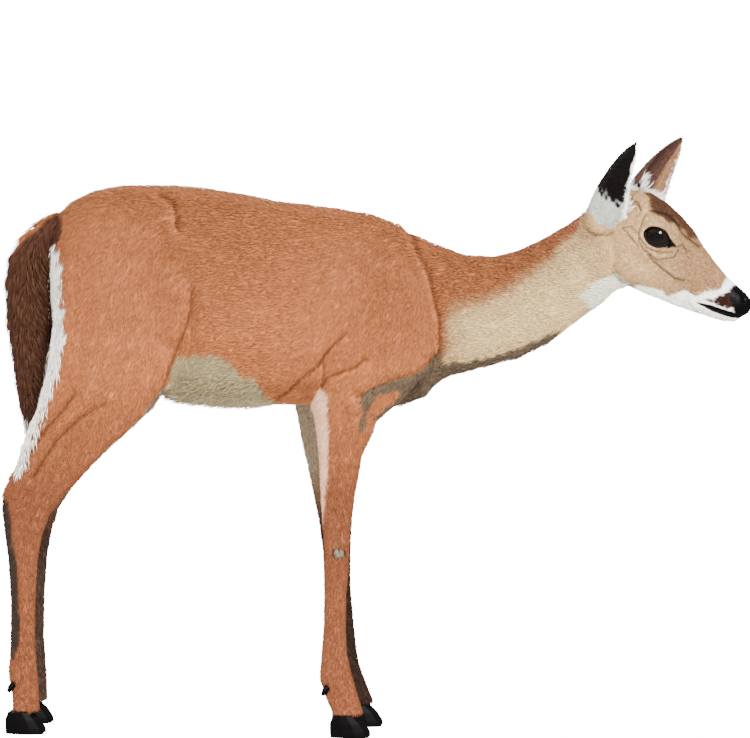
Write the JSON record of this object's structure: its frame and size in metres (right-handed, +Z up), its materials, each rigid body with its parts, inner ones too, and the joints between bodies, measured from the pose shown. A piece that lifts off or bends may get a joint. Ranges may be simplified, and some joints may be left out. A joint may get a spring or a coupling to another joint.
{
  "type": "white-tailed deer doe",
  "caption": "Life-size white-tailed deer doe standing square in reddish summer coat, head raised and turned slightly to its right, ears up, tail hanging.",
  "frame": {"origin": "on the floor, under the middle of the whole animal's bounding box", "axes": "+X towards the head, +Y towards the doe's left side, +Z up"},
  "size_m": [1.2462, 0.2948, 0.9917],
  "materials": {
    "body_coat": "short glossy summer hair, reddish brown",
    "pale_coat": "short hair, pale greyish brown",
    "leg_coat": "very short flat hair, brown",
    "tail_coat": "long hair, dark brown with a white fringe and underside",
    "ear_coat": "short velvety hair, near black outside and pale inside",
    "nose_skin": "moist bare black skin",
    "horn": "black hoof horn, half dull",
    "eye": "very dark brown wet eye"
  },
  "bodies": {
    "root": {"belly": "body_coat", "cannon_fore_left": "leg_coat", "cannon_fore_right": "leg_coat", "cannon_hind_left": "leg_coat", "cannon_hind_right": "leg_coat", "chest": "body_coat", "dewclaw_fore_left_inner": "horn", "dewclaw_fore_left_outer": "horn", "dewclaw_fore_right_inner": "horn", "dewclaw_fore_right_outer": "horn", "dewclaw_hind_left_inner": "horn", "dewclaw_hind_left_outer": "horn", "dewclaw_hind_right_inner": "horn", "dewclaw_hind_right_outer": "horn", "ear_left": "ear_coat", "ear_right": "ear_coat", "eye_left": "eye", "eye_right": "eye", "forearm_fore_left": "leg_coat", "forearm_fore_right": "leg_coat", "gaskin_hind_left": "leg_coat", "gaskin_hind_right": "leg_coat", "head": "pale_coat", "hoof_fore_left_inner": "horn", "hoof_fore_left_outer": "horn", "hoof_fore_right_inner": "horn", "hoof_fore_right_outer": "horn", "hoof_hind_left_inner": "horn", "hoof_hind_left_outer": "horn", "hoof_hind_right_inner": "horn", "hoof_hind_right_outer": "horn", "jaw": "pale_coat", "neck": "pale_coat", "nose": "nose_skin", "pastern_fore_left": "leg_coat", "pastern_fore_right": "leg_coat", "pastern_hind_left": "leg_coat", "pastern_hind_right": "leg_coat", "rump": "body_coat", "shoulder_fore_left": "body_coat", "shoulder_fore_right": "body_coat", "tail": "tail_coat", "thigh_hind_left": "body_coat", "thigh_hind_right": "body_coat"}
  },
  "joints": []
}
